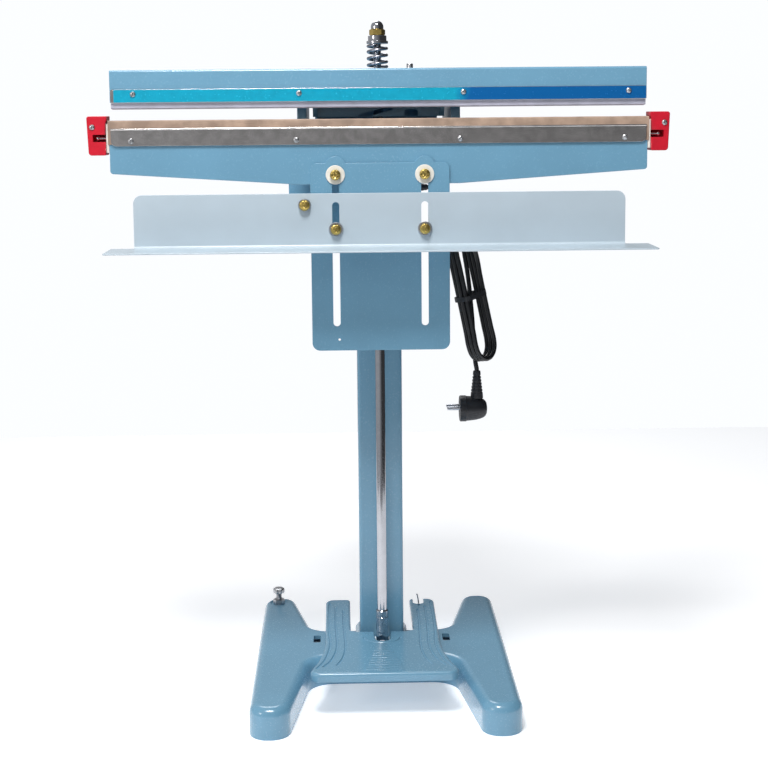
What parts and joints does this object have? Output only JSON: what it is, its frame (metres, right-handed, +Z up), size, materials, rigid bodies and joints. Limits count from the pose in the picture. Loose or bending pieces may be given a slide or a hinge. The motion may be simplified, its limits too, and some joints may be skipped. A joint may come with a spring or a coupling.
{
  "type": "impulse heat sealer",
  "caption": "Foot-pedal impulse heat sealer on a column stand: long sealing jaws, pull rod with pressure spring, height-adjustable work table and control box.",
  "frame": {"origin": "on the floor under the middle of the base", "axes": "+Z up along the column, -Y towards the operator, +X to the operator's right along the jaws"},
  "size_m": [0.7288, 0.416, 0.887],
  "materials": {
    "enamel": "glossy blue-grey enamel over cast iron and steel",
    "sheet_paint": "satin pale blue-grey paint on sheet steel",
    "zinc_steel": "bright zinc-plated steel",
    "stainless_strip": "brushed stainless strip",
    "nichrome": "flat nichrome ribbon",
    "spring_steel": "zinc-plated spring steel",
    "chrome": "polished chrome plate",
    "brass": "turned brass",
    "silicone": "grey silicone rubber",
    "blue_film": "blue transparent protective film",
    "ptfe_cloth": "tan PTFE-coated glass cloth",
    "laminate": "phenolic laminate",
    "red_plastic": "moulded red plastic",
    "white_insulator": "white fibre insulation",
    "black_plastic": "moulded black plastic",
    "black_pvc": "soft black PVC",
    "red_lamp": "clear red lens",
    "transformer_iron": "varnished iron laminations and windings",
    "circuit_board": "green epoxy-glass board",
    "silicone_wire": "red silicone-sheathed wire"
  },
  "bodies": {
    "frame": {"base_casting": "enamel", "column": "enamel", "column_collar": "enamel", "head_floor": "enamel", "head_cheek_left": "enamel", "head_cheek_right": "enamel", "lower_jaw": "enamel", "slotted_plate": "enamel", "control_box": "enamel", "control_cover": "sheet_paint", "levelling_bolt": "zinc_steel", "levelling_nut": "zinc_steel", "pedal_axle": "zinc_steel", "arm_shaft": "zinc_steel", "lower_clamp_strip": "stainless_strip", "heating_element": "nichrome", "return_spring": "spring_steel", "plate_screw_left": "brass", "plate_screw_right": "brass", "ptfe_cloth": "ptfe_cloth", "insulation_bed": "laminate", "end_block_left": "red_plastic", "end_block_right": "red_plastic", "end_insulator_left": "white_insulator", "end_insulator_right": "white_insulator", "switch_housing": "black_plastic", "micro_switch": "black_plastic", "cord_gland": "black_plastic", "plug": "black_plastic", "cord_hank": "black_pvc", "cord_lead": "black_pvc", "cord_tail": "black_pvc", "indicator_lamp": "red_lamp", "transformer": "transformer_iron", "circuit_board": "circuit_board", "element_lead_left": "silicone_wire", "element_lead_right": "silicone_wire"},
    "pedal": {"pedal": "enamel", "clevis_pin": "zinc_steel"},
    "rod": {"pull_rod": "chrome", "rod_clevis": "chrome", "lift_collar": "zinc_steel", "spring_washer": "chrome", "adjusting_nut": "brass", "cap_nut": "chrome"},
    "arm": {"upper_arm": "enamel", "arm_bolt": "zinc_steel", "upper_jaw": "enamel", "silicone_strip": "silicone", "upper_clamp_strip": "stainless_strip", "protective_film": "blue_film", "pressure_spring": "spring_steel"},
    "table": {"work_table": "sheet_paint", "table_screw_left": "brass", "table_screw_right": "brass", "guide_screw": "brass"},
    "knob": {"timer_knob": "black_plastic"},
    "rocker": {"power_switch": "red_plastic"},
    "pin_left": {"tension_pin_left": "chrome"},
    "pin_right": {"tension_pin_right": "chrome"}
  },
  "joints": [
    {"name": "pedal_press", "type": "hinge", "parent": "frame", "child": "pedal", "pos_m": [0, 0.05, 0.026], "axis": [1, 0, 0], "range_deg": [0, 8.5], "stiffness_Nm_per_rad": 40, "springref_deg": -17.19, "deforming": ["return_spring"]},
    {"name": "rod_pull", "type": "slide", "parent": "frame", "child": "rod", "axis": [0, 0, -1], "range_m": [0, 0.01]},
    {"name": "arm_close", "type": "hinge", "parent": "frame", "child": "arm", "pos_m": [0, 0.08, 0.79], "axis": [1, 0, 0], "range_deg": [0, 4.5], "deforming": ["pressure_spring"]},
    {"name": "table_height", "type": "slide", "parent": "frame", "child": "table", "axis": [0, 0, 1], "range_m": [-0.11, 0.008]},
    {"name": "timer_turn", "type": "hinge", "parent": "frame", "child": "knob", "pos_m": [-0.084, 0.1523, 0.652], "axis": [0, 1, 0], "range_deg": [0, 270]},
    {"name": "power_rock", "type": "hinge", "parent": "frame", "child": "rocker", "pos_m": [-0.012, 0.1503, 0.652], "axis": [1, 0, 0], "range_deg": [0, 14]},
    {"name": "pin_left_give", "type": "slide", "parent": "frame", "child": "pin_left", "axis": [-1, 0, 0], "range_m": [0, 0.002], "stiffness_N_per_m": 1500},
    {"name": "pin_right_give", "type": "slide", "parent": "frame", "child": "pin_right", "axis": [1, 0, 0], "range_m": [0, 0.002], "stiffness_N_per_m": 1500}
  ],
  "couplings": [
    {"joint": "rod_pull", "follows": "pedal_press", "m_per_rad": 0.0671},
    {"joint": "arm_close", "follows": "pedal_press", "ratio": 0.529}
  ]
}
